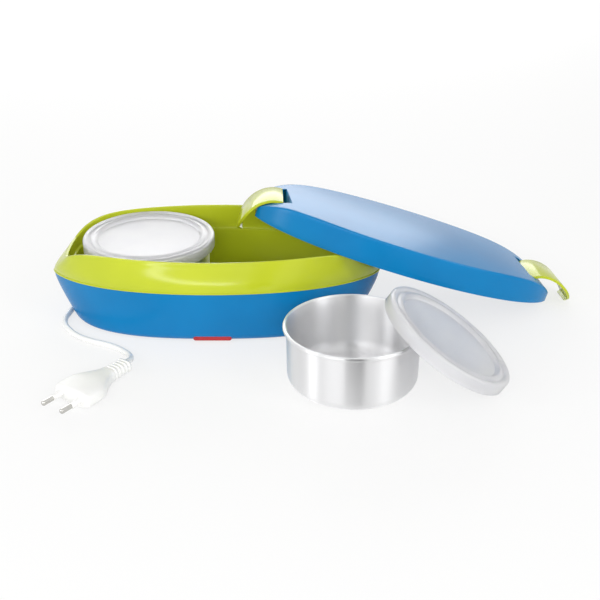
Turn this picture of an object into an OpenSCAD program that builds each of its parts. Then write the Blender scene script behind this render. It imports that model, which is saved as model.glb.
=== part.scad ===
// Electric lunch box: boat-shaped base with a heated tray for two steel
// containers, lift-off lid with two end latches, mains lead with a two-pin plug.
// Origin: centre of the base's footprint on the table. +X runs along the base,
// -Y is its front, +Z is up. The lid leans on the base's right end, one
// container sits in the tray and the other stands in front with its lid leaning.

/* [Containers] */
// Diameter of each steel container over its rolled rim
cont_d = 105; // [98:1:112]
// Height of each container
cont_h = 47; // [40:1:52]
// Thickness of the pressed steel
steel_t = 0.8; // [0.6:0.1:1.2]
// How much narrower the wall is at the foot than at the rim, on the radius
cont_taper = 0.5; // [0.3:0.1:3]
// Radius of the corner between the container's wall and its foot
cont_corner = 9; // [5:0.5:12]
// Diameter of the wire edge that the rim is rolled into
roll_d = 3; // [2.4:0.1:4]
// Height of a container lid above the container's rim
clid_h = 4; // [3:0.25:6]
// Depth of a container lid's skirt below the container's rim
clid_skirt = 6; // [4:0.5:9]
// How far a container lid's ring stands out past the rolled rim
clid_over = 2; // [1.6:0.1:3]
// Width of the raised ring round a container lid's recessed panel
clid_ring = 11.7; // [10:0.1:14]
// Thickness of a container lid's plastic
clid_t = 1.4; // [1:0.1:2]
// Place of the loose container in front of the base, along the base
loose_x = 110; // [95:1:125]
// Distance of the loose container's centre in front of the base's centre line
loose_y = 123.5; // [118:0.5:140]
// Direction in which the leaning container lid slopes down
lean_turn = 0; // [-12:1:2]

/* [Base] */
// Height of the heater plates' top above the table
plate_z = 16; // [15.5:0.5:21]
// Thickness of the heater plates' rim
plate_t = 2; // [1.5:0.1:3]
// Diameter of the heater plates
plate_d = 84; // [76:1:88]
// Depth of the container lids below the tray's rim
rim_over = 2; // [1:0.5:6]
// Gap between the lids of the two containers in the tray
cont_gap = 2; // [1:0.5:5]
// Clearance between a container lid and the tray's wall
tray_clear = 2.1; // [1.5:0.1:4]
// Wall of the tray and its collar
tray_t = 2.4; // [1.8:0.1:3]
// Depth of the step in the tray's wall below the rim
step_depth = 21; // [18:0.5:24]
// Width of that step
step_w = 2; // [1:0.25:3]
// Room past the container lids at each end of the tray
end_room = 12.5; // [10:0.5:16]
// How far the widest line stands out past the rim at the sides
side_over = 9.5; // [8:0.5:13]
// How far the widest line stands out past the rim at the ends
tip_over = 15; // [12:0.5:19]
// Height of the collar above the widest line at the middle
collar_h = 21; // [18:0.5:25]
// Fall of the widest line from the middle of the sides to the tips
belt_drop = 12; // [8:0.5:15]
// Dip of the rim at both ends, below the latches
rim_dip = 13; // [9:0.5:15]
// Wall of the lower shell
shell_t = 2.5; // [1.8:0.1:3.2]
// Radius of the lower shell's bottom edge
bilge_r = 6; // [4:0.5:9]
// How far the bottom stays inside the widest line at the ends
prow = 19; // [14:0.5:24]
// How far the bottom stays inside the widest line at the sides
flare = 10.5; // [6:0.5:14]
// Height of the feet below the shell
foot_h = 0.3; // [0.2:0.1:1]
// Diameter of the feet
foot_d = 12; // [8:0.5:16]
// Length of the red indicator lens
lens_l = 31; // [20:1:40]
// Height of the indicator lens
lens_h = 4; // [3:0.25:5]

/* [Lid] */
// Height of the lid's side at the middle
lid_h = 22; // [19:0.5:28]
// Wall of the lid
lid_t = 2.4; // [1.8:0.1:3]
// Clearance between the lid's skirt and the rim, at the sides
lid_clear = 1; // [0.8:0.1:4]
// How far the lid stands out past the rim at the ends
lid_end = 12.7; // [12.5:0.1:15]
// Length cut off square at each end of the lid's oval
lid_blunt = 6; // [5:0.25:7]
// Rise of the lid's top from its edge to its middle
lid_crown = 3; // [1.5:0.25:5]
// Height of the lid's side at its tips
lid_tip_h = 3; // [2.5:0.25:6]
// Where the leaning lid touches the near side of the rim, along the base
lean_near = 103.3; // [90:0.1:106]
// Where the leaning lid touches the far side of the rim, along the base
lean_far = 58.7; // [50:0.1:80]
// Height of the leaning lid's low tip above the table
lean_tip = 3; // [2.5:0.25:9]

/* [Latches] */
// Width of each latch
latch_w = 28; // [22:1:34]
// Thickness of a latch's blade
latch_t = 2.2; // [1.8:0.1:3]
// Reach of a closed latch below the lid's skirt
latch_drop = 14.5; // [13:0.5:21]
// Distance of a latch's pin from the lid's tip
latch_inset = 22; // [20:0.5:24]
// Diameter of the latch pins
pin_d = 2.5; // [2:0.1:3.2]
// Radial clearance of a latch on its pin
pin_clear = 0.05; // [0.02:0.01:0.1]
// Gap between a latch and the pocket around it
latch_gap = 0.8; // [0.5:0.1:1.4]

/* [Mains lead] */
// Diameter of the lead
cord_d = 4.6; // [4:0.2:6]
// Width of the plug
plug_w = 35.3; // [32:0.1:38]
// Thickness of the plug
plug_t = 13.7; // [12:0.1:16]
// Length of the plug's body up to its ribbed strain relief
plug_l = 38; // [34:1:42]
// Distance between the two pins
plug_pitch = 18.6; // [17:0.1:20]
// Diameter of the two pins
plug_pin_d = 4; // [3.5:0.1:4.8]
// Length of the two pins
plug_pin_l = 19; // [17:0.5:21]

/* [Hidden] */
$fn = 96;

// Clearance between pieces that only rest on each other
seat = 0.3;
// Points round each lofted outline
ring_n = 60;

// ---- Sizes that follow ----
cont_r = cont_d/2;
ring_r = cont_r + clid_over;
cont_x = ring_r + cont_gap/2;
rim_l = cont_x + ring_r + end_room;
rim_a = rim_l*1.02;
rim_b = (ring_r + tray_clear + tray_t)/rim_shape(cont_x/rim_a);
rim_top = plate_z + seat + cont_h + clid_h + rim_over;
belt_a = rim_l + tip_over;
belt_b = rim_b + side_over;
belt_top = rim_top - collar_h;
foot_a = belt_a - prow;
foot_b = belt_b - flare;
lid_a = rim_l + lid_end;
lid_b = rim_b + lid_clear + lid_t;
floor_top = plate_z - plate_t;
floor_low = floor_top - tray_t;
inner_floor = foot_h + shell_t;
step_z = rim_top - step_depth;

// ---- Outlines ----
// Half width of the rim's outline, as a share, where x is a share of its length
function rim_shape(x) = pow(1 - pow(min(abs(x), 1), 1.8), 0.34);
// Half width of an outline between an ellipse and a pointed lens
function leaf(x, a, b, point) =
    let (r = (a*a + b*b)/(2*b), u = min(abs(x), a),
        oval = b*sqrt(1 - u*u/(a*a)),
        lens = sqrt(r*r - u*u) - (r - b))
    (1 - point)*oval + point*lens;
function signed_power(v, p) = sign(v)*pow(abs(v), p);
function mix(p, q, k) = p + (q - p)*k;

// Rim of the tray: nearly flat ends, level along the sides, dipped below the latches
function rim_pt(t, off, dz) =
    let (a = rim_a + off, l = rim_l + off, b = rim_b + off, x0 = -a*cos(t),
        end_y = b*rim_shape(l/a), w = sin(t)/sin(acos(l/a)),
        x = sign(x0)*(abs(x0) > l ? l + end_bow*(1 - w*w) : abs(x0)),
        y = abs(x0) > l ? end_y*w : b*rim_shape(x/a)*sign(sin(t)))
    [x, y, rim_top - rim_dip*pow(min(abs(x)/l, 1), 10) + dz];
end_bow = 1.2;
function tray_pt(t, off, z) = let (p = rim_pt(t, off, 0)) [p[0], p[1], z];
// Widest line of the base, where collar and lower shell meet
function belt_pt(t, off, dz) =
    let (a = belt_a + off, x = -a*cos(t))
    [x, leaf(x, a, belt_b + off, 0.7)*sign(sin(t)), belt_top - belt_drop*pow(x/a, 2) + dz];
// Collar between rim and widest line, a little rounded
function collar_pt(t, k, off) =
    mix(rim_pt(t, off, 0), belt_pt(t, off + 4*k*(1 - k)*collar_bulge, 0), k);
collar_bulge = 2.5;
// Lower shell: a superellipse at the bottom that flares out to the widest line
foot_power = 2/2.6;
function bilge(h) = h >= bilge_r ? 0 : bilge_r - sqrt(bilge_r*bilge_r - pow(bilge_r - h, 2));
function shell_pt(t, s, off, z0) =
    let (belt = belt_pt(t, off, -lip_h), k = 1 - pow(1 - s, 1.5),
        inset = bilge(s*(belt_top - foot_h)) - off,
        foot = [-(foot_a - inset)*signed_power(cos(t), foot_power),
            (foot_b - inset)*signed_power(sin(t), foot_power), 0])
    [mix(foot[0], belt[0], k), mix(foot[1], belt[1], k), mix(z0, belt[2], s)];
lip_h = 1.6;
seam_gap = 0.12;
// Height of the lid's side falls towards its tips
function lid_side(x) = lid_h - (lid_h - lid_tip_h)*pow(min(abs(x)/lid_a, 1), 8);
function lid_pt(t, off, share, dz) =
    let (x = -(lid_a + off)*cos(t)) [x, (lid_b + off)*sin(t), share*lid_side(x) + dz];
// The lid's top, where s goes from 1 at its edge to 0 at its middle
function lid_top_pt(t, s, off, dz) =
    let (p = lid_pt(t, off, 1, dz), x = p[0]*s)
    [x, p[1]*s, lid_side(x) + dz + lid_crown*(1 - s*s)*(1 - pow(min(abs(x)/lid_a, 1), 4))];

// A solid skin through closed outlines, capped at the first and the last
module loft(rings) {
    n = len(rings[0]);
    last = len(rings) - 1;
    sides = [for (i = [0:last - 1], j = [0:n - 1])
        let (a = i*n + j, b = i*n + (j + 1)%n, c = a + n, d = b + n) each [[a, c, b], [b, c, d]]];
    polyhedron([for (r = rings) each r],
        concat([[for (j = [0:n - 1]) j]], sides, [[for (j = [n - 1:-1:0]) last*n + j]]), 12);
}
// A round tube swept along points
function unit(v) = v/norm(v);
module tube(points, d, sides = 8) {
    n = len(points);
    dir = [for (i = [0:n - 1]) unit(points[min(i + 1, n - 1)] - points[max(i - 1, 0)])];
    loft([for (i = [0:n - 1])
        let (side = unit(cross(dir[i], abs(dir[i][2]) > 0.9 ? [1, 0, 0] : [0, 0, 1])),
            top = cross(side, dir[i]))
        [for (j = [0:sides - 1])
            points[i] + d/2*(side*cos(360*j/sides + 180/sides) - top*sin(360*j/sides + 180/sides))]]);
}

// ---- Lower shell ----
screw_places = [[0, -42], [0, 42], [-107, 0], [107, 0]];
function screw_at(p) = [p[0]*rim_l/122.5, p[1]*rim_b/64.5];
screw_d = 3;
screw_head_d = 6;
screw_head_h = 1.8;
screw_l = 9;
boss_d = 8;
boss_low = inner_floor + 1;
gland_turn = 50;
gland_r = 4.4;
gland_z = inner_floor + gland_r + 0.56;
gland_level = (gland_z - foot_h)/(belt_pt(gland_turn, 0, -lip_h)[2] - foot_h);
gland_at = shell_pt(gland_turn, gland_level, 0, foot_h);
gland_step = shell_pt(gland_turn + 2, gland_level, 0, foot_h)
    - shell_pt(gland_turn - 2, gland_level, 0, foot_h);
gland_dir = atan2(gland_step[0], -gland_step[1]);
gland_l = 26;
lens_z = foot_h + 3;
foot_x = foot_a*0.68;
foot_y = foot_b*0.53;

function outline(f) = [for (i = [0:ring_n - 1]) f(-360*i/ring_n)];
module shell_skin() {
    outer = [0, 0.012, 0.04, 0.085, 0.15, 0.27, 0.42, 0.58, 0.75, 0.9, 1];
    inner = [1, 0.8, 0.55, 0.3, 0.12, 0.04, 0];
    loft(concat(
        [for (s = outer) outline(function (t) shell_pt(t, s, 0, foot_h))],
        [for (s = inner) outline(function (t) shell_pt(t, s, -shell_t, inner_floor))]));
}
module at_screws(z) {
    for (p = screw_places) translate([screw_at(p)[0], screw_at(p)[1], z]) children();
}
module at_feet() {
    for (x = [-1, 1], y = [-1, 1]) translate([x*foot_x, y*foot_y, 0]) children();
}
module at_gland() {
    translate(gland_at) rotate([0, 0, gland_dir]) rotate([0, 90, 0]) children();
}
// A slot shape with round ends, standing in the front wall
module lens_bar(grow, deep) {
    translate([0, -foot_b - 4, lens_z]) rotate([-90, 0, 0]) linear_extrude(deep) {
        square([lens_l - lens_h, lens_h + 2*grow], center = true);
        for (x = [-1, 1]) translate([x*(lens_l - lens_h)/2, 0]) circle(d = lens_h + 2*grow);
    }
}
module lower_shell() color("#0f7fbf") {
    difference() {
        union() {
            shell_skin();
            at_screws(inner_floor - 0.5) cylinder(d = boss_d + 2, h = boss_low - inner_floor + 0.5);
        }
        at_screws(foot_h - 1) cylinder(d = screw_d + 0.4, h = 10);
        at_screws(foot_h - 1) cylinder(d = screw_head_d + 0.6, h = screw_head_h + 1.2);
        at_feet() translate([0, 0, foot_h - 1]) cylinder(d = foot_d + 0.2, h = 1.8);
        at_gland() translate([0, 0, -12]) cylinder(r = gland_r + 0.1, h = 24);
        lens_bar(0.1, 12);
    }
}
module indicator_lens() color("#d81f26") intersection() {
    lens_bar(0, 7.2);
    translate([-lens_l, -foot_b - 0.6, 0]) cube([2*lens_l, 10, 20]);
}
module neon_lamp() color("#ff7a3c") {
    translate([-5, -foot_b + 5.5, inner_floor + 2.3]) rotate([0, 90, 0]) cylinder(d = 4, h = 10);
}
module rubber_feet() color("#3a3a3c") {
    at_feet() {
        cylinder(d1 = foot_d - 1, d2 = foot_d, h = 0.6);
        translate([0, 0, 0.6]) cylinder(d = foot_d, h = foot_h + 0.2);
    }
}
module shell_screws() color("#b8bcc0") {
    at_screws(foot_h + 0.2) difference() {
        union() {
            cylinder(d = screw_head_d, h = screw_head_h);
            cylinder(d = screw_d - 0.5, h = screw_l);
        }
        translate([0, 0, -1]) linear_extrude(2) {
            square([3.6, 0.8], center = true);
            square([0.8, 3.6], center = true);
        }
    }
}

// ---- Tray ----
wall_draft = 1;
lip_out = 0.6;
module tray_skin() {
    up = -tray_t - wall_draft;
    step_in = up - step_w;
    foot_off = step_in - 2;
    loft(concat([
        outline(function (t) tray_pt(t, foot_off - 1, floor_low)),
        outline(function (t) tray_pt(t, foot_off + 1.2, floor_low + 1.8)),
        outline(function (t) tray_pt(t, step_in + tray_t - 0.2, step_z - tray_t)),
        outline(function (t) tray_pt(t, up + tray_t, step_z - tray_t + 1)),
        outline(function (t) rim_pt(t, -tray_t/2, -4))],
        [for (k = [0.3, 0.6, 0.88]) outline(function (t) collar_pt(t, k, -tray_t))],
        [outline(function (t) belt_pt(t, -shell_t - 2.7, -lip_h - 3)),
        outline(function (t) belt_pt(t, -shell_t - 1.3, -lip_h - 3)),
        outline(function (t) belt_pt(t, -shell_t - 0.3, seam_gap - lip_h)),
        outline(function (t) belt_pt(t, 0, seam_gap - lip_h)),
        outline(function (t) belt_pt(t, lip_out, -lip_h + 0.4)),
        outline(function (t) belt_pt(t, lip_out, -0.3)),
        outline(function (t) belt_pt(t, 0, 0))],
        [for (k = [0.85, 0.65, 0.45, 0.25, 0.1]) outline(function (t) collar_pt(t, k, 0))],
        [outline(function (t) rim_pt(t, 0, -0.8)),
        outline(function (t) rim_pt(t, -0.6, 0)),
        outline(function (t) rim_pt(t, -tray_t + 0.6, 0)),
        outline(function (t) rim_pt(t, -tray_t, -0.8)),
        outline(function (t) tray_pt(t, up, step_z)),
        outline(function (t) tray_pt(t, step_in, step_z - 0.3)),
        outline(function (t) tray_pt(t, foot_off, floor_top + 2)),
        outline(function (t) tray_pt(t, foot_off - 2, floor_top))]));
}
module inner_tray() color("#c3cc2a") {
    difference() {
        union() {
            tray_skin();
            at_screws(boss_low) cylinder(d = boss_d, h = floor_low - boss_low + 0.6);
        }
        for (x = [-1, 1]) translate([x*cont_x, 0, floor_low - 1]) cylinder(r = plate_boss_r + 0.1, h = 8);
        at_screws(boss_low - 1) cylinder(d = screw_d - 0.4, h = screw_l - 1.2);
    }
}

// ---- Heaters ----
strap_foot = 5;
strap_gap = 3;
plate_boss_r = min(plate_d/2 - 6,
    screw_at(screw_places[3])[0] - boss_d/2 - cont_x - strap_gap - strap_foot - 0.6);
boss_bottom = floor_low - 0.6;
ptc_h = 4.4;
strap_t = 1.2;
ptc_l = plate_boss_r*1.65;
ptc_w = plate_boss_r*0.78;
ptc_low = boss_bottom - ptc_h;
module heater_plate(x) color("#b9bdc2") translate([x, 0, 0]) {
    translate([0, 0, boss_bottom]) cylinder(r = plate_boss_r, h = plate_z - boss_bottom - 0.6);
    translate([0, 0, floor_top]) cylinder(d = plate_d, h = plate_t - 0.6);
    translate([0, 0, plate_z - 0.6]) cylinder(d1 = plate_d, d2 = plate_d - 1.2, h = 0.6);
}
module heater_plate_left() heater_plate(-cont_x);
module heater_plate_right() heater_plate(cont_x);
module ptc_heater(x) color("#d9d4c4") {
    translate([x - ptc_l/2, -ptc_w/2, ptc_low]) cube([ptc_l, ptc_w, ptc_h]);
}
module ptc_heater_left() ptc_heater(-cont_x);
module ptc_heater_right() ptc_heater(cont_x);
// A bent steel strap that presses the heater up and hangs from the tray's floor
module heater_strap(x) color("#a9adb2") translate([x, 0, 0]) {
    half = plate_boss_r + strap_gap;
    translate([-half, -6, ptc_low - strap_t]) cube([2*half, 12, strap_t]);
    for (s = [-1, 1]) {
        translate([s*half - (s + 1)/2*strap_t, -6, ptc_low - strap_t])
            cube([strap_t, 12, floor_low - ptc_low + strap_t]);
        translate([s*half - (1 - s)/2*strap_foot, -6, floor_low - strap_t]) cube([strap_foot, 12, strap_t]);
    }
}
module heater_strap_left() heater_strap(-cont_x);
module heater_strap_right() heater_strap(cont_x);
thermo_d = 13;
thermo_y = ptc_w/2 + thermo_d/2 + 2.5;
module thermostat() color("#2b2b2e") translate([-cont_x, thermo_y, boss_bottom - 4.2]) {
    cylinder(d = thermo_d, h = 4.2);
    for (x = [-1, 1]) translate([x*3.5 - 1.5, 5.5, 0.8]) cube([3, 5, 0.8]);
}
module thermal_fuse() color("#c9c3b0") {
    translate([-cont_x - 6, -ptc_w/2 - 7, boss_bottom - 2]) rotate([0, 90, 0]) cylinder(d = 4, h = 12);
}
block_at = [-cont_x - 8.5, thermo_y + 12, inner_floor];
block_l = 24;
module terminal_block() color("#e8e6df") translate(block_at) {
    difference() {
        cube([block_l, 10, 7]);
        for (i = [0:2]) translate([block_l/6 + block_l/3*i, 5, 2.2]) cylinder(d = 4.4, h = 6);
    }
}
module wiring() color("#8c1f1f") {
    z = inner_floor + 1.2;
    x = block_at[0];
    y = block_at[1];
    end = cont_x + ptc_l/2 + 0.95;
    tube([[x - 0.2, y + 2, z], [x - 2, y + 2, z], [x - 4, y - 4, z], [x - 7, y - 12, z],
        [x - 16, 17.5, z], [-end - 1.6, 14.5, z], [-end - 2.4, 11, z + 2.2], [-end, 10, ptc_low + 2.2]], 1.8, 6);
    tube([[x + block_l + 0.2, y + 5, z], [x + block_l + 3, y + 5, z], [-24, 32, z], [-4, 22, z],
        [14, 14, z], [2*cont_x - end - 3, 11.4, z + 2], [2*cont_x - end, 10, ptc_low + 2.2]], 1.8, 6);
    tube([[x + 14, y - 0.2, z], [x + 14, y - 3, z], [-48, 10, z], [-34, -30, z], [-16, -50, z],
        [-10, -foot_b + 6.5, z + 0.8], [-5.3, -foot_b + 5.5, inner_floor + 2.3]], 1.8, 6);
    tube([from_gland(-24.2), from_gland(-25.6), [x - 5, y - 4, z + 3], [x - 3.6, y + 2, z + 2.6],
        [x - 2.2, y + 5.6, z + 2.4], [x - 0.2, y + 5.6, z + 2.4]], 1.8, 6);
}

// ---- Mains lead and plug ----
coil_at = [-52, 143, 0.9];
coil_mid = cord_d*5.5;
coil_pitch = cord_d + 0.2;
lie = cord_d/2;
function from_gland(d) = gland_at + d*[cos(gland_dir), sin(gland_dir), 0];
module cord_gland() color("#f2f2f0") at_gland() rotate_extrude() {
    bore = cord_d/2 + 0.05;
    difference() {
        polygon([[bore, -6], [gland_r, -6], [gland_r, 3], [bore + 1, gland_l], [bore, gland_l]]);
        for (i = [0:5]) translate([bore + 1.2, 6 + 3.3*i]) square([5, 1.2]);
    }
}
module cord_clamp() color("#e8e6df") at_gland() difference() {
    top = cord_d/2 + 1.2;
    translate([-top, -8, -18]) cube([gland_at[2] - inner_floor + top, 16, 7]);
    translate([0, 0, -20]) cylinder(d = cord_d + 0.1, h = 12);
    translate([-0.3, -9, -20]) cube([0.6, 6, 12]);
}
module cord_tail() color("#f2f2f0") tube(concat(
    [for (d = [-24, -12, 0, 12, gland_l + 2]) from_gland(d)],
    [[-101.2, 87.5, 6.6], [-101.6, 97, 4.6], [-98.2, 106, 3.2], [-91.5, 112, lie], [-83, 115.4, lie],
    [-73, 116.9, lie], [-62, 117.3, 2.7], [-52, coil_at[1] - coil_mid - coil_pitch/2, coil_at[2] + lie]]), cord_d);
// Three turns: two side by side and one lying on them
module coil_section() {
    for (i = [-1, 1]) translate([coil_mid + i*coil_pitch/2, lie]) circle(d = cord_d + 0.3, $fn = 24);
    translate([coil_mid, lie + 0.86*cord_d]) circle(d = cord_d + 0.3, $fn = 24);
}
module cord_coil() color("#f2f2f0") translate(coil_at) rotate_extrude() coil_section();
module cord_tie() color("#4a4a4c") translate(coil_at) rotate([90, 0, 20]) translate([0, 0, -3]) linear_extrude(6)
    difference() {
        hull() for (p = [[-1, 0], [1, 0], [0, 0.86]])
            translate([coil_mid + p[0]*coil_pitch/2, lie + p[1]*cord_d]) circle(d = cord_d + 1.8, $fn = 24);
        hull() for (p = [[-1, 0], [1, 0], [0, 0.86]])
            translate([coil_mid + p[0]*coil_pitch/2, lie + p[1]*cord_d]) circle(d = cord_d + 0.8, $fn = 24);
    }
module cord_lead() color("#f2f2f0") tube([[coil_at[0] - 17.8, coil_at[1] + 21.2, coil_at[2] + lie],
    [-77.3, 157.7, 2.6], [-84.8, 151.3, lie], [-92, 144.2, lie], [-98.8, 136, lie], [-104.6, 127, lie],
    [-109.5, 117, lie], [-113.4, 106, lie], [-116.2, 94.5, lie], [-118.4, 82.5, lie], [-120, 70, lie],
    [-121.2, 57.5, lie], [-122, 45, lie], [-122.4, 32.5, lie], [-122.6, 20, lie], [-122.8, 8, lie],
    [-123.4, -4, lie], [-124.6, -15, lie], [-126, -25, lie], [-124.6, -36, lie], [-118.3, -48, lie],
    [-108, -59.5, lie], [-96.5, -67, lie], [-85.5, -72, lie], [-75.5, -77.8, lie], [-66.7, -85.8, lie],
    [-62.8, -91.2, 2.6], [-61, -97.5, 3.6], [-61.5, -104.1, 5.2], [-64.3, -110.4, 6.5],
    [-70, -118.6, plug_t/2]], cord_d);
plug_at = [-95.3, -159.5, plug_t/2];
plug_turn = -125;
relief_l = 19.5;
module plug_frame() translate(plug_at) rotate([0, 0, plug_turn]) rotate([0, 90, 0]) children();
// Rounded section of the plug at a distance behind its face
function plug_ring(d, w, h) = [for (i = [0:23])
    let (c = cos(-15*i), s = sin(-15*i))
    [h/2*signed_power(c, 0.6), w/2*signed_power(s, 0.6), -d]];
module plug_body() color("#f4f4f2") plug_frame() {
    t = plug_t;
    grooves = [for (i = [0:4], e = [[0, 0], [0.4, -1.4], [1.6, -1.4], [2, 0]])
        plug_ring(plug_l + 1 + 3.6*i + e[0], 12.8 + e[1], 10.6 - 0.35*i + e[1])];
    loft(concat([plug_ring(0, plug_w - 4.4, t - 3.2), plug_ring(1.2, plug_w - 1, t - 0.7),
        plug_ring(3, plug_w, t), plug_ring(plug_l*0.34, plug_w, t),
        plug_ring(plug_l*0.53, plug_w - 3.4, t - 0.2), plug_ring(plug_l*0.7, plug_w*0.68, t - 1.1),
        plug_ring(plug_l*0.86, plug_w*0.46, t - 2.3), plug_ring(plug_l, 12.8, 10.6)], grooves,
        [plug_ring(plug_l + relief_l - 0.8, 12.6, 9), plug_ring(plug_l + relief_l, 10.8, 7.6)]));
    for (y = [-1, 1]) translate([0, y*plug_pitch/2, -1]) cylinder(d = plug_pin_d + 0.6, h = 10);
}
module plug_pins() color("#c4c7ca") plug_frame() for (y = [-1, 1])
    translate([0, y*plug_pitch/2, 4]) rotate_extrude() {
        tip = plug_pin_l - 4;
        polygon([[0, 0], [plug_pin_d/2, 0], [plug_pin_d/2, tip - 1.4], [plug_pin_d/2 - 0.5, tip - 0.4],
            [plug_pin_d/2 - 1.3, tip], [0, tip]]);
    }

// ---- Containers ----
wall_top_r = cont_r - roll_d + 0.3;
wall_foot_r = wall_top_r - cont_taper;
arc_n = 6;
function arc(x, y, r, from, to) = [for (i = [0:arc_n])
    [x + r*cos(from + (to - from)*i/arc_n), y + r*sin(from + (to - from)*i/arc_n)]];
module container() color("#c4c7ca") rotate_extrude() {
    inside = cont_corner - steel_t;
    polygon(concat([[0, 0]],
        arc(wall_foot_r - cont_corner, cont_corner, cont_corner, -90, 0),
        [[wall_top_r, cont_h - roll_d/2], [wall_top_r - steel_t, cont_h - roll_d/2]],
        arc(wall_foot_r - cont_corner, cont_corner, inside, 0, -90),
        [[0, steel_t]]));
    translate([cont_r - roll_d/2, cont_h - roll_d/2]) circle(d = roll_d, $fn = 20);
}
// Clear lid with a double bead round a recessed panel; z = 0 is the container's rim
seal_h = 1.3;
module container_lid() color("#e6e4ea") rotate_extrude() {
    r1 = ring_r - clid_ring;
    mid = ring_r - clid_ring/2;
    in_r = wall_top_r - steel_t - 0.6;
    low = seat + seal_h;
    polygon([[0, clid_h - 3], [r1 - 0.8, clid_h - 3], [r1, clid_h - 2.2], [r1 + 0.8, clid_h - 0.8],
        [r1 + 2.4, clid_h], [mid - 1.7, clid_h - 0.3], [mid, clid_h - 1.3], [mid + 1.7, clid_h - 0.3],
        [ring_r - 2.6, clid_h], [ring_r - 0.9, clid_h - 0.6], [ring_r, clid_h - 2], [ring_r, -clid_skirt],
        [ring_r - clid_t, -clid_skirt], [ring_r - clid_t, low], [in_r, low],
        [in_r, -clid_skirt + 1], [in_r - clid_t, -clid_skirt + 1], [in_r - clid_t, low - 1],
        [r1 + 1, clid_h - 3 - clid_t], [0, clid_h - 3 - clid_t]]);
}
module container_seal() color("#f4f4f2") rotate_extrude() {
    translate([wall_top_r - steel_t + 0.2, seat]) square([roll_d - 0.4, seal_h]);
}
module in_tray(z) translate([-cont_x, 0, plate_z + seat + z]) children();
module on_table() translate([loose_x, -loose_y, 0]) children();
lean_foot = 60;
// The recessed panel's underside rests on the container's rim
lean_rise = clid_skirt + clid_h - 3 - clid_t - seat;
clid_tilt = acos(lean_rise/norm([cont_h, lean_foot])) - atan(lean_foot/cont_h);
module clid_lean() {
    out = cont_r + lean_foot - ring_r*cos(clid_tilt);
    on_table() rotate([0, 0, lean_turn]) translate([out, 0, ring_r*sin(clid_tilt) + 0.05])
        rotate([0, clid_tilt, 0]) translate([0, 0, clid_skirt]) children();
}
module container_left() in_tray(0) container();
module container_left_lid() in_tray(cont_h) container_lid();
module container_left_seal() in_tray(cont_h) container_seal();
module container_right() on_table() container();
module container_right_lid() clid_lean() container_lid();
module container_right_seal() clid_lean() container_seal();

// ---- Lid and latches, in the lid's own frame: z = 0 is the skirt's edge ----
lid_over = 1.6;
hinge_x = lid_a - latch_inset;
latch_top = lid_side(hinge_x) + lid_over;
hinge_z = latch_top - latch_t - pin_d/2 - 1.9;
latch_cx = hinge_x - 1.5;
latch_rx = belt_a + lip_out + 0.2 + latch_t - latch_cx;
latch_rz = latch_top + latch_drop;
latch_out = latch_cx + latch_rx;
knuckle_r = pin_d/2 + 2;
neck_turn = acos((hinge_x + knuckle_r*cos(42) - latch_cx)/(latch_rx - latch_t));
pocket_w = latch_w + 2*latch_gap;
lid_cut_x = lid_a - lid_blunt;
pocket_low = hinge_z - knuckle_r - 3;
pocket_back = hinge_x - norm([hinge_x - latch_cx, latch_top - hinge_z]) - 0.6;
// Points of the latch's curve, moved inwards by a distance
curve_n = 14;
function latch_curve(in, from, to) = [for (i = [0:curve_n])
    let (q = from + (to - from)*i/curve_n)
    [latch_cx + (latch_rx - in)*cos(q), -latch_drop + (latch_rz - in)*sin(q)]];
module across(w) rotate([90, 0, 0]) translate([0, 0, -w/2]) linear_extrude(w) children();
module both_ends() for (s = [0, 1]) mirror([s, 0, 0]) children();
module lid_skin() {
    loft(concat(
        [for (s = [0.08, 0.35, 0.65, 0.88]) outline(function (t) lid_top_pt(t, s, -lid_t - 0.8, -lid_t))],
        [outline(function (t) lid_pt(t, -lid_t - 0.4, 0.7, -0.3)),
        outline(function (t) lid_pt(t, -lid_t, 0.1, 0.2)),
        outline(function (t) lid_pt(t, -lid_t, 0, 0)),
        outline(function (t) lid_pt(t, -0.5, 0, 0))],
        [for (s = [0.02, 0.3, 0.6, 0.85]) outline(function (t) lid_pt(t, 0, s, 0.5*(1 - s)))],
        [outline(function (t) lid_pt(t, -0.4, 0.97, 0))],
        [for (s = lid_rows) outline(function (t) lid_top_pt(t, s, 0, 0))]));
}
lid_rows = [0.97, 0.9, 0.75, 0.55, 0.3, 0.08];
// The same form, filled and a little smaller, for the blocks inside the lid
module lid_filled() {
    loft(concat([outline(function (t) lid_pt(t, -0.8, 0, 0.4)), outline(function (t) lid_pt(t, -0.8, 0.9, -0.6))],
        [for (s = lid_rows) outline(function (t) lid_top_pt(t, s, -0.8, -0.8))]));
}
module lid_cut() {
    across(pocket_w) {
        polygon(concat(latch_curve(latch_t + latch_gap, 90, -20),
            [[lid_a + 30, -40], [lid_a + 30, 60], [latch_cx, 60]]));
        translate([pocket_back, hinge_z - knuckle_r - 0.8])
            square([hinge_x + 4 - pocket_back, 60]);
    }
    across(pocket_w + 4) translate([hinge_x, hinge_z]) circle(d = pin_d, $fn = 32);
}
module lid_shell() color("#0d84c6") lid_pose() difference() {
    union() {
        lid_skin();
        both_ends() intersection() {
            lid_filled();
            union() {
                across(pocket_w + 4.8) polygon([[pocket_back - 2, 60], [pocket_back - 2, pocket_low],
                    [rim_l + end_bow + 0.5, pocket_low], [rim_l + end_bow + 2, -1], [lid_a, -1], [lid_a, 60]]);
                translate([lid_cut_x - lid_t, -lid_b, -1]) cube([2*lid_t, 2*lid_b, 60]);
            }
        }
    }
    both_ends() {
        lid_cut();
        translate([lid_cut_x, -lid_b, -1]) cube([20, 2*lid_b, 60]);
    }
}
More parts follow.
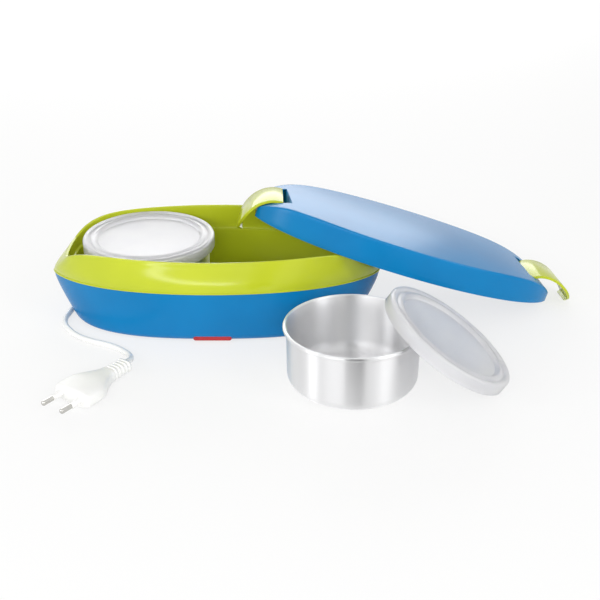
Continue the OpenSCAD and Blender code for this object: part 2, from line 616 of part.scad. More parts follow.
module latch(angle) translate([hinge_x, 0, hinge_z]) rotate([0, -angle, 0]) translate([-hinge_x, 0, -hinge_z]) {
    tip = -latch_drop - 2.5;
    difference() {
        intersection() {
            across(latch_w) {
                polygon(concat(latch_curve(0, 92, 6), [[latch_out, -latch_drop], [latch_out - 0.5, tip],
                    [latch_out - latch_t - 1, tip], [latch_out - latch_t - 2.6, tip + 0.8],
                    [latch_out - latch_t - 2.6, tip + 1.6], [latch_out - latch_t + 0.1, tip + 2.3]],
                    latch_curve(latch_t, 0, neck_turn),
                    [for (q = [42:-12:-222]) [hinge_x + knuckle_r*cos(q), hinge_z + knuckle_r*sin(q)]]));
            }
            rotate([90, 0, 90]) linear_extrude(300) polygon(concat(
                [[-latch_w/2, 60], [-latch_w/2, 2]],
                [for (k = [0.1:0.15:1]) [-latch_w/2*(1 - 0.3*pow(k, 2.2)), 2 + (tip - 2)*k]],
                [[-latch_w*0.3, tip - 0.1], [latch_w*0.3, tip - 0.1]],
                [for (k = [1:-0.15:0.1]) [latch_w/2*(1 - 0.3*pow(k, 2.2)), 2 + (tip - 2)*k]],
                [[latch_w/2, 2], [latch_w/2, 60]]));
        }
        across(latch_w + 2) translate([hinge_x, hinge_z]) circle(d = pin_d + 2*pin_clear, $fn = 32);
    }
}
module latch_left() color("#c3cc2a") lid_pose() mirror([1, 0, 0]) latch(0);
module latch_right() color("#c3cc2a") lid_pose() latch(latch_open);
module latch_pins() color("#b8bcc0") lid_pose() both_ends() {
    across(pocket_w + 4) translate([hinge_x, hinge_z]) circle(d = pin_d, $fn = 32);
}

// ---- Where the lid leans: two points of the rim and the low tip set its plane ----
lean_gap = 0.35;
touch_a = lid_a - lid_t - 0.3;
touch_b = lid_b - lid_t - 0.3;
function rim_touch(x, side) =
    [x, side*rim_b*rim_shape(x/rim_a), rim_top - rim_dip*pow(x/rim_l, 10) + lean_gap];
near_touch = rim_touch(lean_near, -1);
far_touch = rim_touch(lean_far, 1);
function lean_frame(tilt) =
    let (u = [cos(tilt), 0, -sin(tilt)], e = far_touch - near_touch,
        v = unit(cross(unit(cross(u, e)), u)),
        c = [e*u/touch_a, e*v/touch_b], m = sqrt(1 - c*c/4)/norm(c)*[-c[1], c[0]],
        n = m - c/2)
    [u, v, n[0]*touch_a, n[1]*touch_b];
function lean_angle(tilt, steps) = steps == 0 ? tilt :
    let (f = lean_frame(tilt))
    lean_angle(asin((near_touch[2] - f[3]*f[1][2] - lean_tip)/(lid_a - f[2])), steps - 1);
lid_tilt = lean_angle(18, 8);
lean_at = lean_frame(lid_tilt);
lid_roll = asin(lean_at[1][2]/cos(lid_tilt));
lid_at = near_touch - lean_at[2]*lean_at[0] - lean_at[3]*lean_at[1];
module lid_pose() translate(lid_at) rotate([lid_roll, lid_tilt, 0]) children();
// The right latch is pushed open until its tip stands on the table
arm = [latch_out - latch_t - 1 - hinge_x, hinge_z + latch_drop + 2.5];
hinge_high = (lid_at + hinge_x*lean_at[0])[2] + hinge_z*cos(lid_tilt)*cos(lid_roll);
latch_open = acos((hinge_high - 0.3*latch_w*abs(lean_at[1][2]) - 0.2)/norm(arm))
    + lid_tilt - atan2(arm[0], arm[1]);
echo(gland_at = gland_at, gland_dir = gland_dir, lid_at = lid_at, lid_tilt = lid_tilt, lid_roll = lid_roll,
    latch_open = latch_open, v = lean_at[1],
    hinge_right = lid_at + hinge_x*lean_at[0] + hinge_z*cross(lean_at[0], lean_at[1]),
    hinge_left = lid_at - hinge_x*lean_at[0] + hinge_z*cross(lean_at[0], lean_at[1]));
echo(rim_l = rim_l, rim_b = rim_b, rim_top = rim_top, belt_a = belt_a, belt_b = belt_b, belt_top = belt_top,
    cont_x = cont_x, hinge_x = hinge_x, hinge_z = hinge_z, clid_tilt = clid_tilt);
lower_shell();
inner_tray();
heater_plate_left();
heater_plate_right();
ptc_heater_left();
ptc_heater_right();
heater_strap_left();
heater_strap_right();
thermostat();
thermal_fuse();
terminal_block();
wiring();
neon_lamp();
indicator_lens();
shell_screws();
rubber_feet();
cord_gland();
cord_clamp();
cord_tail();
cord_coil();
cord_lead();
cord_tie();
plug_body();
plug_pins();
lid_shell();
latch_pins();
latch_left();
latch_right();
container_left();
container_left_lid();
container_left_seal();
container_right();
container_right_lid();
container_right_seal();
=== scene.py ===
# Electric lunch box with its lid leaning on the base, one container out and the lead wound up behind.
# Places are millimetres in the frame's axes and become metres when a mesh is made.
import math

import bmesh
import bpy
from mathutils import Matrix, Vector


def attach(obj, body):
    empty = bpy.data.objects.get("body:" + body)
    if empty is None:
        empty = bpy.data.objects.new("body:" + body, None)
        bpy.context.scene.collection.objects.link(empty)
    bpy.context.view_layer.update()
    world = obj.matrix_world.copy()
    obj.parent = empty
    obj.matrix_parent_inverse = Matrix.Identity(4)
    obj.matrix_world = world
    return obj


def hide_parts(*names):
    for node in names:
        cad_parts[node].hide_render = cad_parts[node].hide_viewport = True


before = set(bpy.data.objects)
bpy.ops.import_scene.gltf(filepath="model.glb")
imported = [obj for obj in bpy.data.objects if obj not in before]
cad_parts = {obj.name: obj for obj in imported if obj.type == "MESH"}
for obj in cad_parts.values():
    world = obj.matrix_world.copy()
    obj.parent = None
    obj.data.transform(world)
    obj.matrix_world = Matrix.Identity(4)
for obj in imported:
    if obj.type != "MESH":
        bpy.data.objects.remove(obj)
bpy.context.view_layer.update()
mm = 0.001


# camera
camera = {"place": (70.5, -807.4, 403.8), "target": (70.5, 0, 6.2), "lens": 62.8}

def makeCamera(c):
    data = bpy.data.cameras.new("camera")
    data.lens = c["lens"]
    data.clip_start = 0.05
    obj = bpy.data.objects.new("camera", data)
    bpy.context.scene.collection.objects.link(obj)
    place = Vector(c["place"]) * mm
    obj.location = place
    obj.rotation_euler = (Vector(c["target"]) * mm - place).to_track_quat("-Z", "Y").to_euler()
    bpy.context.scene.camera = obj

makeCamera(camera)
print("camera placed")


# materials
def linear(hexColour):  # sRGB hex to linear RGBA
    parts = [int(hexColour[i:i + 2], 16) / 255 for i in (1, 3, 5)]
    return tuple(p / 12.92 if p <= 0.04045 else ((p + 0.055) / 1.055) ** 2.4 for p in parts) + (1,)

def addNode(tree, kind, inputs=None, **settings):  # one node; each input is a value or the socket it is linked to
    node = tree.nodes.new(kind)
    for key, value in settings.items():
        setattr(node, key, value)
    for socket, source in (inputs or {}).items():
        if isinstance(source, bpy.types.NodeSocket):
            tree.links.new(source, node.inputs[socket])
        else:
            node.inputs[socket].default_value = source
    return node

def calc(tree, kind, *terms):
    return addNode(tree, "ShaderNodeMath", dict(enumerate(terms)), operation=kind).outputs[0]

def newMaterial(name, **values):
    mat = bpy.data.materials.new(name)
    mat.use_nodes = True
    shader = mat.node_tree.nodes["Principled BSDF"]
    for key, value in values.items():
        shader.inputs[key].default_value = value
    place = addNode(mat.node_tree, "ShaderNodeTexCoord").outputs["Object"]
    return mat, mat.node_tree, shader, place

def tintByNoise(tree, shader, place, low, high, scale):  # slow change of colour, as pigment flow leaves
    cloud = addNode(tree, "ShaderNodeTexNoise", {"Vector": place, "Scale": scale})
    ramp = addNode(tree, "ShaderNodeValToRGB", {"Fac": cloud.outputs["Fac"]})
    ramp.color_ramp.elements[0].position, ramp.color_ramp.elements[1].position = 0.35, 0.65
    ramp.color_ramp.elements[0].color, ramp.color_ramp.elements[1].color = low, high
    tree.links.new(ramp.outputs["Color"], shader.inputs["Base Color"])

def grainBump(tree, shader, place, grain, strength, stretch=(1, 1, 1)):  # grain is the real spacing in mm
    mapping = addNode(tree, "ShaderNodeMapping", {"Vector": place, "Scale": stretch})
    noise = addNode(tree, "ShaderNodeTexNoise", {"Vector": mapping.outputs[0], "Scale": 1 / (grain * mm), "Detail": 3})
    bump = addNode(tree, "ShaderNodeBump", {"Height": noise.outputs["Fac"], "Strength": strength, "Distance": 0.1 * mm})
    tree.links.new(bump.outputs["Normal"], shader.inputs["Normal"])

def glossyAbs(name, hexColour, darker, rough, level=0.35):
    # Injection-moulded ABS, polished mould: a clear gloss with a faint flow ripple
    mat, tree, shader, place = newMaterial(name, Roughness=rough, IOR=1.53)
    shader.inputs["Specular IOR Level"].default_value = level
    tintByNoise(tree, shader, place, linear(hexColour), linear(darker), 18)
    grainBump(tree, shader, place, 9, 0.05)
    return mat

def spunSteel(name, hexColour, rough):
    # Pressed 304 steel, polished on a lathe: bright, and its fine rings draw reflections out across them
    mat, tree, shader, place = newMaterial(name, Metallic=1.0, Roughness=rough, Anisotropic=0.95)
    shader.inputs["Base Color"].default_value = linear(hexColour)
    shader.inputs["Anisotropic Rotation"].default_value = 0.25
    around = addNode(tree, "ShaderNodeTangent", direction_type="UV_MAP", uv_map="spun")
    tree.links.new(around.outputs[0], shader.inputs["Tangent"])
    grainBump(tree, shader, place, 1.6, 0.03, (0.02, 0.02, 1))  # rings drawn coarser than the real 0.1 mm
    return mat

def castAluminium():
    # Die-cast and face-turned aluminium: pale grey, satin, with a light grain
    mat, tree, shader, place = newMaterial("castAluminium", Metallic=1.0, Roughness=0.34)
    tintByNoise(tree, shader, place, linear("#c9ccd0"), linear("#b4b8bd"), 60)
    grainBump(tree, shader, place, 0.8, 0.15)
    return mat

def nickelSteel():
    # Nickel-plated steel: smooth and slightly warm
    mat, tree, shader, place = newMaterial("nickelSteel", Metallic=1.0, Roughness=0.2)
    tintByNoise(tree, shader, place, linear("#d0cfca"), linear("#c3c2be"), 90)
    return mat

def softPvc(name, hexColour, darker):
    # Moulded or extruded soft PVC: white, satin, faintly uneven
    mat, tree, shader, place = newMaterial(name, Roughness=0.38, IOR=1.53)
    tintByNoise(tree, shader, place, linear(hexColour), linear(darker), 40)
    grainBump(tree, shader, place, 1.2, 0.05)
    return mat

def frostedPolypropylene():
    # Milky polypropylene: light goes in and comes out soft, the surface is satin
    mat, tree, shader, place = newMaterial("frostedPolypropylene", Roughness=0.3, IOR=1.49)
    shader.inputs["Transmission Weight"].default_value = 0.6
    tintByNoise(tree, shader, place, linear("#fafafb"), linear("#f3f3f6"), 30)
    grainBump(tree, shader, place, 2.5, 0.04)
    return mat

def clearRed():
    # Dyed polycarbonate lens: deep red, clear and glossy
    mat, tree, shader, place = newMaterial("dyedPolycarbonate", Roughness=0.12, IOR=1.58)
    shader.inputs["Transmission Weight"].default_value = 0.25
    tintByNoise(tree, shader, place, linear("#d8232c"), linear("#c41a24"), 80)
    return mat

def blackRubber():
    # Die-cut EPDM pads: dull black with a fine grain
    mat, tree, shader, place = newMaterial("epdmRubber", Roughness=0.8)
    tintByNoise(tree, shader, place, linear("#3a3a3c"), linear("#2e2e30"), 120)
    grainBump(tree, shader, place, 0.6, 0.2)
    return mat

finishes = {
    "blue": glossyAbs("blueAbs", "#007dba", "#0076b2", 0.26, 0.2),
    "green": glossyAbs("limeAbs", "#c0ca2b", "#b9c427", 0.17),
    "steel": spunSteel("spunSteel", "#f0f0f1", 0.42),
    "aluminium": castAluminium(),
    "nickel": nickelSteel(),
    "pvc": softPvc("whitePvc", "#f6f6f4", "#f0f0ee"),
    "frosted": frostedPolypropylene(),
    "red": clearRed(),
    "rubber": blackRubber(),
    "silicone": softPvc("whiteSilicone", "#f4f4f2", "#ececea"),  # moulded silicone: milky white, satin
    "cream": glossyAbs("creamPolyamide", "#e8e6df", "#e2e0d8", 0.4),  # moulded nylon: pale, nearly dull
    "black": glossyAbs("blackPhenolic", "#2b2b2e", "#242427", 0.5),  # pressed phenolic: black, nearly dull
    "wire": softPvc("redWire", "#8c1f1f", "#7d1a1a"),  # sleeved copper: dark red, satin
}
print("materials made:", len(finishes))


# mesh helpers
def meshObject(name, points, faces, finish, smooth=32):
    mesh = bpy.data.meshes.new(name)
    mesh.from_pydata([tuple(c * mm for c in p) for p in points], [], faces)
    obj = bpy.data.objects.new(name, mesh)
    bpy.context.scene.collection.objects.link(obj)
    finishMesh(obj, finish, smooth)
    return obj

def finishMesh(obj, finish, smooth=32):
    obj.data.materials.clear()
    obj.data.materials.append(finishes[finish])
    for face in obj.data.polygons:
        face.use_smooth = True
    obj.data.set_sharp_from_angle(angle=math.radians(smooth))

def loft(rings):  # closed skin through rings of equal length, capped at both ends
    n = len(rings[0])
    points = [p for ring in rings for p in ring]
    faces = [[k for k in range(n)]]
    for i in range(len(rings) - 1):
        for j in range(n):
            a, b = i * n + j, i * n + (j + 1) % n
            faces.append([a, a + n, b + n, b])
    faces.append([(len(rings) - 1) * n + k for k in reversed(range(n))])
    return points, faces

def mix(p, q, k):
    return [a + (b - a) * k for a, b in zip(p, q)]

def carve(obj, tool, operation="DIFFERENCE"):  # boolean, applied, with the tool removed
    cut = obj.modifiers.new("cut", "BOOLEAN")
    cut.operation, cut.object, cut.solver = operation, tool, "MANIFOLD"
    bake(obj)
    bpy.data.objects.remove(tool)

def bake(obj):
    depsgraph = bpy.context.evaluated_depsgraph_get()
    mesh = bpy.data.meshes.new_from_object(obj.evaluated_get(depsgraph))
    obj.modifiers.clear()
    obj.data = mesh

def prism(name, shape, low, high, finish, frameMatrix=None):  # shape in XY between two heights
    n = len(shape)
    points = [(x, y, low) for x, y in shape] + [(x, y, high) for x, y in shape]
    faces = [list(reversed(range(n))), list(range(n, 2 * n))]
    faces += [[i, (i + 1) % n, n + (i + 1) % n, n + i] for i in range(n)]
    if frameMatrix is not None:
        points = [frameMatrix @ Vector(p) for p in points]
    return meshObject(name, points, faces, finish)

def disc(radius, count=48, cx=0, cy=0):
    return [(cx + radius * math.cos(math.tau * i / count), cy + radius * math.sin(math.tau * i / count))
            for i in range(count)]

def turned(name, profile, finish, matrix, count=160, smooth=32):  # profile of (radius, height), closed
    points, faces, n = [], [], len(profile)
    for i in range(count):
        a = math.tau * i / count
        points += [matrix @ Vector((r * math.cos(a), r * math.sin(a), z)) for r, z in profile]
    for i in range(count):
        for j in range(n):
            a, b = i * n + j, i * n + (j + 1) % n
            c, d = ((i + 1) % count) * n + j, ((i + 1) % count) * n + (j + 1) % n
            faces.append([a, c, d, b])
    obj = meshObject(name, points, faces, finish, smooth)
    spun = obj.data.uv_layers.new(name="spun")  # U runs round the axis
    corners = [(i + di, j + dj) for i in range(count) for j in range(n) for di, dj in ((0, 0), (1, 0), (1, 1), (0, 1))]
    spun.data.foreach_set("uv", [v for i, j in corners for v in (i / count, j / n)])
    tidy = bmesh.new()
    tidy.from_mesh(obj.data)
    bmesh.ops.remove_doubles(tidy, verts=tidy.verts, dist=1e-7)
    bmesh.ops.dissolve_degenerate(tidy, edges=tidy.edges, dist=1e-7)
    bmesh.ops.recalc_face_normals(tidy, faces=tidy.faces)
    tidy.to_mesh(obj.data)
    tidy.free()
    finishMesh(obj, finish, smooth)
    return obj

def sizedTree(name, sizes):  # Geometry Nodes tree with a named input for each size: whole numbers count, others are mm
    tree = bpy.data.node_groups.new(name, "GeometryNodeTree")
    tree.interface.new_socket("Geometry", in_out="INPUT", socket_type="NodeSocketGeometry")
    for label, value in sizes.items():
        kind = "NodeSocketInt" if isinstance(value, int) else "NodeSocketFloat"
        tree.interface.new_socket(label, in_out="INPUT", socket_type=kind)
    tree.interface.new_socket("Geometry", in_out="OUTPUT", socket_type="NodeSocketGeometry")
    return tree, addNode(tree, "NodeGroupInput").outputs

def grow(name, places, tree, sizes, result, finish):  # runs the tree on these places and keeps a plain mesh
    solid = addNode(tree, "GeometryNodeRealizeInstances", {"Geometry": result})
    painted = addNode(tree, "GeometryNodeSetMaterial", {"Geometry": solid.outputs[0]})
    painted.inputs["Material"].default_value = finishes[finish]
    addNode(tree, "NodeGroupOutput", {"Geometry": painted.outputs[0]})
    mesh = bpy.data.meshes.new(name)
    mesh.from_pydata([Vector(p) * mm for p in places], [], [])
    obj = bpy.data.objects.new(name, mesh)
    bpy.context.scene.collection.objects.link(obj)
    modifier = obj.modifiers.new(name, "NODES")
    modifier.node_group = tree
    for socket in tree.interface.items_tree:
        if socket.in_out == "INPUT" and socket.name in sizes:
            value = sizes[socket.name]
            modifier[socket.identifier] = value if isinstance(value, int) else value * mm
    bake(obj)
    finishMesh(obj, finish, 40)
    return obj

def arc(cx, cy, r, start, stop, count=10):
    return [(cx + r * math.cos(math.radians(start + (stop - start) * i / count)),
             cy + r * math.sin(math.radians(start + (stop - start) * i / count))) for i in range(count + 1)]


# mains lead
lead = {"diameter": 4.6, "exit": (-85.387, 51.525, 7.76), "turn": 115.627, "relief": 26, "straight": (-2, 12, 28),
        "coil": (-52, 143, 0.9), "mid": 25.3, "pitch": 4.8, "lie": 2.3, "knots": 62,
        # each turn's angle, its side of the middle and its height over the table's strands
        "turns": ((-90, 1, 0), (200, 1, 0), (270, -1, 0), (500, -1, 0), (560, 0, 3.96), (838, 0, 3.96)),
        "toCoil": ((-101.2, 87.5, 6.6), (-101.6, 97, 4.6), (-98.2, 106, 3.2), (-91.5, 112, 2.3), (-83, 115.4, 2.3),
                   (-73, 116.9, 2.3), (-62, 116.6, 2.7)),
        "toPlug": ((-69.5, 163.6, 5.2), (-77.3, 157.7, 2.9), (-84.8, 151.3, 2.3), (-92, 144.2, 2.3), (-98.8, 136, 2.3),
                   (-104.6, 127, 2.3), (-109.5, 117, 2.3), (-113.4, 106, 2.3), (-116.2, 94.5, 2.3),
                   (-118.4, 82.5, 2.3), (-120, 70, 2.3), (-121.2, 57.5, 2.3), (-122, 45, 2.3), (-122.4, 32.5, 2.3),
                   (-122.6, 20, 2.3), (-122.8, 8, 2.3), (-123.4, -4, 2.3), (-124.6, -15, 2.3), (-126, -25, 2.3),
                   (-124.6, -36, 2.3), (-118.3, -48, 2.3), (-108, -59.5, 2.3), (-96.5, -67, 2.3), (-85.5, -72, 2.3),
                   (-75.5, -77.8, 2.3), (-66.7, -85.8, 2.3), (-62.8, -91.2, 2.6), (-61, -97.5, 3.6),
                   (-61.5, -104.1, 5.2), (-64.3, -110.4, 6.5), (-70, -118.6, 6.85))}

def alongExit(d):
    a = math.radians(lead["turn"])
    x, y, z = lead["exit"]
    return (x + d * math.cos(a), y + d * math.sin(a), z)

def coilTurns():  # outer strand, then the inner one, then the one that lies on both
    x, y, z = lead["coil"]
    steps, count, points = lead["turns"], lead["knots"], []
    first, last = steps[0][0], steps[-1][0]
    for i in range(count + 1):
        angle = first + (last - first) * i / count
        for (a0, s0, h0), (a1, s1, h1) in zip(steps, steps[1:]):
            if a0 <= angle <= a1:
                k = (angle - a0) / (a1 - a0)
                side, height = s0 + (s1 - s0) * k, h0 + (h1 - h0) * k
        r = lead["mid"] + side * lead["pitch"] / 2
        a = math.radians(angle)
        points.append((x + r * math.cos(a), y + r * math.sin(a), z + lead["lie"] + height))
    return points

def leadRoute():
    return [alongExit(d) for d in lead["straight"]] + list(lead["toCoil"]) + coilTurns() + list(lead["toPlug"])

def makeLead():
    route = leadRoute()
    data = bpy.data.curves.new("mainsLead", "CURVE")
    data.dimensions = "3D"
    data.bevel_depth = lead["diameter"] / 2 * mm
    data.bevel_resolution = 5
    data.resolution_u = 6
    data.use_fill_caps = True
    spline = data.splines.new("BEZIER")
    spline.bezier_points.add(len(route) - 1)
    for knot, point in zip(spline.bezier_points, route):
        knot.co = Vector(point) * mm
        knot.handle_left_type = knot.handle_right_type = "AUTO"
    data.materials.append(finishes["pvc"])
    obj = bpy.data.objects.new("mainsLead", data)
    bpy.context.scene.collection.objects.link(obj)
    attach(obj, "base")
    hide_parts("cord_tail", "cord_coil", "cord_lead")
    return obj, sum(math.dist(a, b) for a, b in zip(route, route[1:])) * mm

mainsLead, leadLength = makeLead()
print("lead length from its points:", round(leadLength, 3))


# base: outlines shared by the shell, the tray and the lid
base = {"rimA": 124.95, "rimL": 122.5, "rimB": 64.542, "rimTop": 69.3, "rimDip": 13, "endBow": 1.2,
        "beltA": 137.5, "beltB": 74.042, "beltTop": 48.3, "beltDrop": 12, "beltPoint": 0.7, "bulge": 2.5,
        "lip": 1.6, "points": 240}
hullForm = {"footA": 118.5, "footB": 63.542, "footH": 0.3, "footRound": 2.6, "bilge": 6, "wall": 2.5,
            "screwSpots": ((0, -42.03), (0, 42.03), (-107, 0), (107, 0)), "headR": 3.3, "headDeep": 2.3, "shankR": 1.7,
            "padX": 80.58, "padY": 33.68, "padR": 6.1, "padDeep": 1.1,
            "lens": (0, -67.5, 3.3), "lensHalf": 13.5, "lensR": 2.1, "leadR": 4.5}
trayForm = {"wall": 2.4, "floorZ": 14, "stepZ": 48.3, "stepW": 2, "seam": 0.12}

def rimShape(x):
    return (1 - min(abs(x), 1) ** 1.8) ** 0.34

def leaf(x, a, b, point):
    r = (a * a + b * b) / (2 * b)
    u = min(abs(x), a)
    oval = b * math.sqrt(max(1 - u * u / (a * a), 0))
    return (1 - point) * oval + point * (math.sqrt(r * r - u * u) - (r - b))

def sign(v):
    return (v > 0) - (v < 0)

def power(v, p):
    return sign(v) * abs(v) ** p

def rimPoint(t, off, dz):
    a, l, b = base["rimA"] + off, base["rimL"] + off, base["rimB"] + off
    x0, endY = -a * math.cos(t), b * rimShape(l / a)
    if abs(x0) > l:
        w = math.sin(t) / math.sin(math.acos(l / a))
        x, y = sign(x0) * (l + base["endBow"] * (1 - w * w)), endY * w
    else:
        x, y = x0, b * rimShape(x0 / a) * sign(math.sin(t))
    return (x, y, base["rimTop"] - base["rimDip"] * min(abs(x) / l, 1) ** 10 + dz)

def trayPoint(t, off, z):
    return rimPoint(t, off, 0)[:2] + (z,)

def beltPoint(t, off, dz):
    a = base["beltA"] + off
    x = -a * math.cos(t)
    y = leaf(x, a, base["beltB"] + off, base["beltPoint"]) * sign(round(math.sin(t), 9))
    return (x, y, base["beltTop"] - base["beltDrop"] * (x / a) ** 2 + dz)

def collarPoint(t, k, off):
    swell = 4 * k * (1 - k) * base["bulge"]
    return tuple(mix(rimPoint(t, off, 0), beltPoint(t, off + swell, 0), k))

def bilge(h):
    r = hullForm["bilge"]
    return 0 if h >= r else r - math.sqrt(r * r - (r - h) ** 2)

def shellPoint(t, s, off, z0):
    belt = beltPoint(t, off, -base["lip"])
    k = 1 - (1 - s) ** 1.5
    inset = bilge(s * (base["beltTop"] - hullForm["footH"])) - off
    foot = (-(hullForm["footA"] - inset) * power(math.cos(t), 2 / hullForm["footRound"]),
            (hullForm["footB"] - inset) * power(math.sin(t), 2 / hullForm["footRound"]))
    x, y = mix(foot, belt[:2], k)
    return (x, y, z0 + (belt[2] - z0) * s)

def outline(make):
    return [make(-math.tau * i / base["points"]) for i in range(base["points"])]

def makeShell():
    h = hullForm
    outer = [0, 0.004, 0.012, 0.024, 0.04, 0.06, 0.085, 0.115] + [0.15 + 0.05 * i for i in range(18)]
    inner = [1, 0.8, 0.55, 0.3, 0.12, 0.04, 0]
    rings = [outline(lambda t, s=s: shellPoint(t, s, 0, h["footH"])) for s in outer]
    rings += [outline(lambda t, s=s: shellPoint(t, s, -h["wall"], h["footH"] + h["wall"])) for s in inner]
    shell = meshObject("lowerHull", *loft(rings), "blue", 40)
    for x, y in h["screwSpots"]:
        carve(shell, prism("headHole", disc(h["headR"], 40, x, y), -1, h["headDeep"], "blue"))
        carve(shell, prism("shankHole", disc(h["shankR"], 32, x, y), 2, 4, "blue"))
    for x in (-h["padX"], h["padX"]):
        for y in (-h["padY"], h["padY"]):
            carve(shell, prism("padRecess", disc(h["padR"], 48, x, y), -1, h["padDeep"], "blue"))
    front = Matrix.Translation(h["lens"]) @ Matrix.Rotation(math.radians(90), 4, "X")
    slot = arc(h["lensHalf"], 0, h["lensR"], -90, 90, 20)
    slot += [(-x, -y) for x, y in slot]
    carve(shell, prism("lensSlot", slot, -12, 0, "blue", front))
    aim = Matrix.Translation(lead["exit"]) @ Matrix.Rotation(math.radians(lead["turn"]), 4, "Z")
    aim = aim @ Matrix.Rotation(math.radians(90), 4, "Y")
    carve(shell, prism("leadHole", disc(h["leadR"]), -12, 12, "blue", aim))
    finishMesh(shell, "blue", 35)
    return shell

def makeTray():  # one skin: floor below, collar inside and outside, rim, step, floor above
    wall, seam, lip = trayForm["wall"], trayForm["seam"], base["lip"]
    stepZ, floorZ = trayForm["stepZ"], trayForm["floorZ"]
    up = -wall - 1
    stepIn = up - trayForm["stepW"]
    low = stepIn - 2

    def alongTray(*rows):
        return [outline(lambda t, o=o, z=z: trayPoint(t, o, z)) for o, z in rows]

    rings = alongTray((low - 1, floorZ - wall), (low + 1.2, floorZ - wall + 1.8), (stepIn + wall - 0.2, stepZ - wall),
                      (up + wall, stepZ - wall + 1))
    rings += [outline(lambda t: rimPoint(t, -wall / 2, -4))]
    rings += [outline(lambda t, k=k: collarPoint(t, k, -wall)) for k in (0.15, 0.3, 0.45, 0.6, 0.75, 0.88)]
    rings += [outline(lambda t, o=o, d=d: beltPoint(t, o, d)) for o, d in (
        (-5.2, -lip - 3), (-3.8, -lip - 3), (-2.8, -lip + seam), (0, -lip + seam), (0.35, -lip + 0.2),
        (0.6, -lip + 0.4), (0.6, -0.3), (0.35, -0.08), (0, 0))]
    rings += [outline(lambda t, k=k: collarPoint(t, k, 0)) for k in [0.94 - 0.06 * i for i in range(15)]]
    rings += [outline(lambda t, o=o, d=d: rimPoint(t, o, d)) for o, d in (
        (0, -0.8), (-0.12, -0.4), (-0.35, -0.12), (-0.7, 0), (-1.7, 0), (-2.05, -0.12), (-2.28, -0.4), (-2.4, -0.8))]
    for k in (0.25, 0.5, 0.75, 1):
        rings.append(outline(lambda t: tuple(mix(rimPoint(t, -2.4 - k, -0.8), trayPoint(t, -2.4 - k, stepZ + 0.6), k))))
    rings += alongTray((up - 0.25, stepZ + 0.15), (up - 0.6, stepZ), (stepIn + 0.5, stepZ - 0.2),
                       (stepIn + 0.15, stepZ - 0.35), (stepIn, stepZ - 0.8))
    rings += alongTray(*[(stepIn - 2 * k, stepZ - 1 + (floorZ - stepZ + 3.6) * k) for k in (0.2, 0.4, 0.6, 0.8, 1)])
    rings += alongTray((low - 0.2, floorZ + 1.5), (low - 0.7, floorZ + 0.7), (low - 1.4, floorZ + 0.2),
                       (low - 2.3, floorZ))
    return meshObject("heatedTray", *loft(rings), "green", 40)

screw = {"seat": 0.5,
         "sizes": {"Head Diameter": 6.0, "Head Height": 1.8, "Edge": 0.3, "Shank Diameter": 2.5, "Length": 9.0,
                   "Cross Length": 3.6, "Cross Width": 0.8, "Cross Depth": 1.0}}

def makeScrews():  # pan heads with a cross recess, one on each place
    sizes = screw["sizes"]
    tree, size = sizedTree("crossHeadScrews", sizes)

    def barrel(low, high, depth, start):
        cone = addNode(tree, "GeometryNodeMeshCone",
                       {"Radius Bottom": low, "Radius Top": high, "Depth": depth, "Vertices": 48})
        lift = addNode(tree, "ShaderNodeCombineXYZ", {"Z": start})
        return addNode(tree, "GeometryNodeTransform",
                       {"Geometry": cone.outputs["Mesh"], "Translation": lift.outputs[0]}).outputs[0]

    radius = calc(tree, "MULTIPLY", size["Head Diameter"], 0.5)
    thin = calc(tree, "MULTIPLY", size["Shank Diameter"], 0.5)
    above = calc(tree, "SUBTRACT", size["Head Height"], size["Edge"])
    body = addNode(tree, "GeometryNodeMeshBoolean", operation="UNION", solver="EXACT")
    for part in (barrel(calc(tree, "SUBTRACT", radius, size["Edge"]), radius, size["Edge"], 0.0),
                 barrel(radius, radius, above, size["Edge"]), barrel(thin, thin, size["Length"], 0.0)):
        tree.links.new(part, body.inputs["Mesh 2"])
    cross = addNode(tree, "GeometryNodeMeshBoolean", {"Mesh 1": body.outputs["Mesh"]}, operation="DIFFERENCE",
                    solver="EXACT")
    deep = calc(tree, "MULTIPLY", size["Cross Depth"], 2)
    for x, y in (("Cross Length", "Cross Width"), ("Cross Width", "Cross Length")):
        span = addNode(tree, "ShaderNodeCombineXYZ", {"X": size[x], "Y": size[y], "Z": deep})
        bar = addNode(tree, "GeometryNodeMeshCube", {"Size": span.outputs[0]})
        tree.links.new(bar.outputs["Mesh"], cross.inputs["Mesh 2"])
    spots = addNode(tree, "GeometryNodeInstanceOnPoints",
                    {"Points": size["Geometry"], "Instance": cross.outputs["Mesh"]})
    places = [(x, y, screw["seat"]) for x, y in hullForm["screwSpots"]]
    return grow("shellScrews", places, tree, sizes, spots.outputs[0], "nickel")

hull = makeShell()
tray = makeTray()
shellScrews = makeScrews()
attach(shellScrews, "base")
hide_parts("shell_screws")
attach(hull, "base")
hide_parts("lower_shell")
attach(tray, "base")
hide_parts("inner_tray")
print("base made")


# lid and latches, in the lid's own frame, where z = 0 is the skirt's edge
lid = {"place": (155.945, 16.1, 43.797), "tilt": 17.563, "roll": -6.352, "a": 135.2, "b": 67.942, "blunt": 6,
       "height": 22, "tipHeight": 3, "crown": 3, "wall": 2.4, "hingeX": 113.2, "pinD": 2.5,
       "pocketW": 46.6, "gap": 0.8, "swing": 0.6, "notch": {"width": 4, "low": 11, "apex": 19, "high": 21}}
latch = {"width": 45, "tipShare": 0.42, "thick": 2.2, "drop": 14.5, "over": 1.6, "knuckle": 3.25, "inset": 1.5,
         "reach": 0.8, "softEdge": 0.6, "open": 35.945}
latch["top"] = lid["height"] - (lid["height"] - lid["tipHeight"]) * (lid["hingeX"] / lid["a"]) ** 8 + latch["over"]
latch["hingeZ"] = latch["top"] - latch["thick"] - lid["pinD"] / 2 - 1.9
latch["centreX"] = lid["hingeX"] - latch["inset"]
latch["out"] = base["beltA"] + latch["reach"] + latch["thick"]
